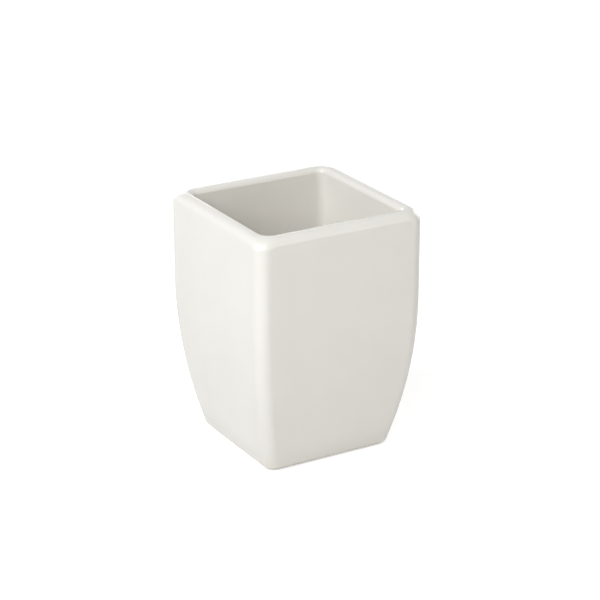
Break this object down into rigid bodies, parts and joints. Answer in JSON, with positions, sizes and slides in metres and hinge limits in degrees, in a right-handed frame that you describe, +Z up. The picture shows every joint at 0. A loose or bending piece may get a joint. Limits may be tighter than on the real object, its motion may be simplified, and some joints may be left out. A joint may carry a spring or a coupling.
{
  "type": "bathroom tumbler",
  "caption": "Free-standing square ceramic tumbler with softened upright edges, sides drawn in to the base and a thick rounded lip, to hold toothbrushes or water.",
  "frame": {"origin": "middle of the footprint, on the surface that the tumbler stands on", "axes": "+Z up, -Y the front face, -X the left face"},
  "size_m": [0.0732, 0.0732, 0.1],
  "materials": {
    "bisque": "bare fired clay, matt",
    "glaze": "glossy warm white glaze",
    "pad": "soft, matt",
    "adhesive": "adhesive film"
  },
  "bodies": {
    "root": {"ceramic_body": "bisque", "glaze_coat": "glaze", "base_glaze": "glaze", "foot_pad_front_left": "pad", "foot_pad_front_right": "pad", "foot_pad_back_left": "pad", "foot_pad_back_right": "pad", "pad_adhesive_front_left": "adhesive", "pad_adhesive_front_right": "adhesive", "pad_adhesive_back_left": "adhesive", "pad_adhesive_back_right": "adhesive"}
  },
  "joints": []
}
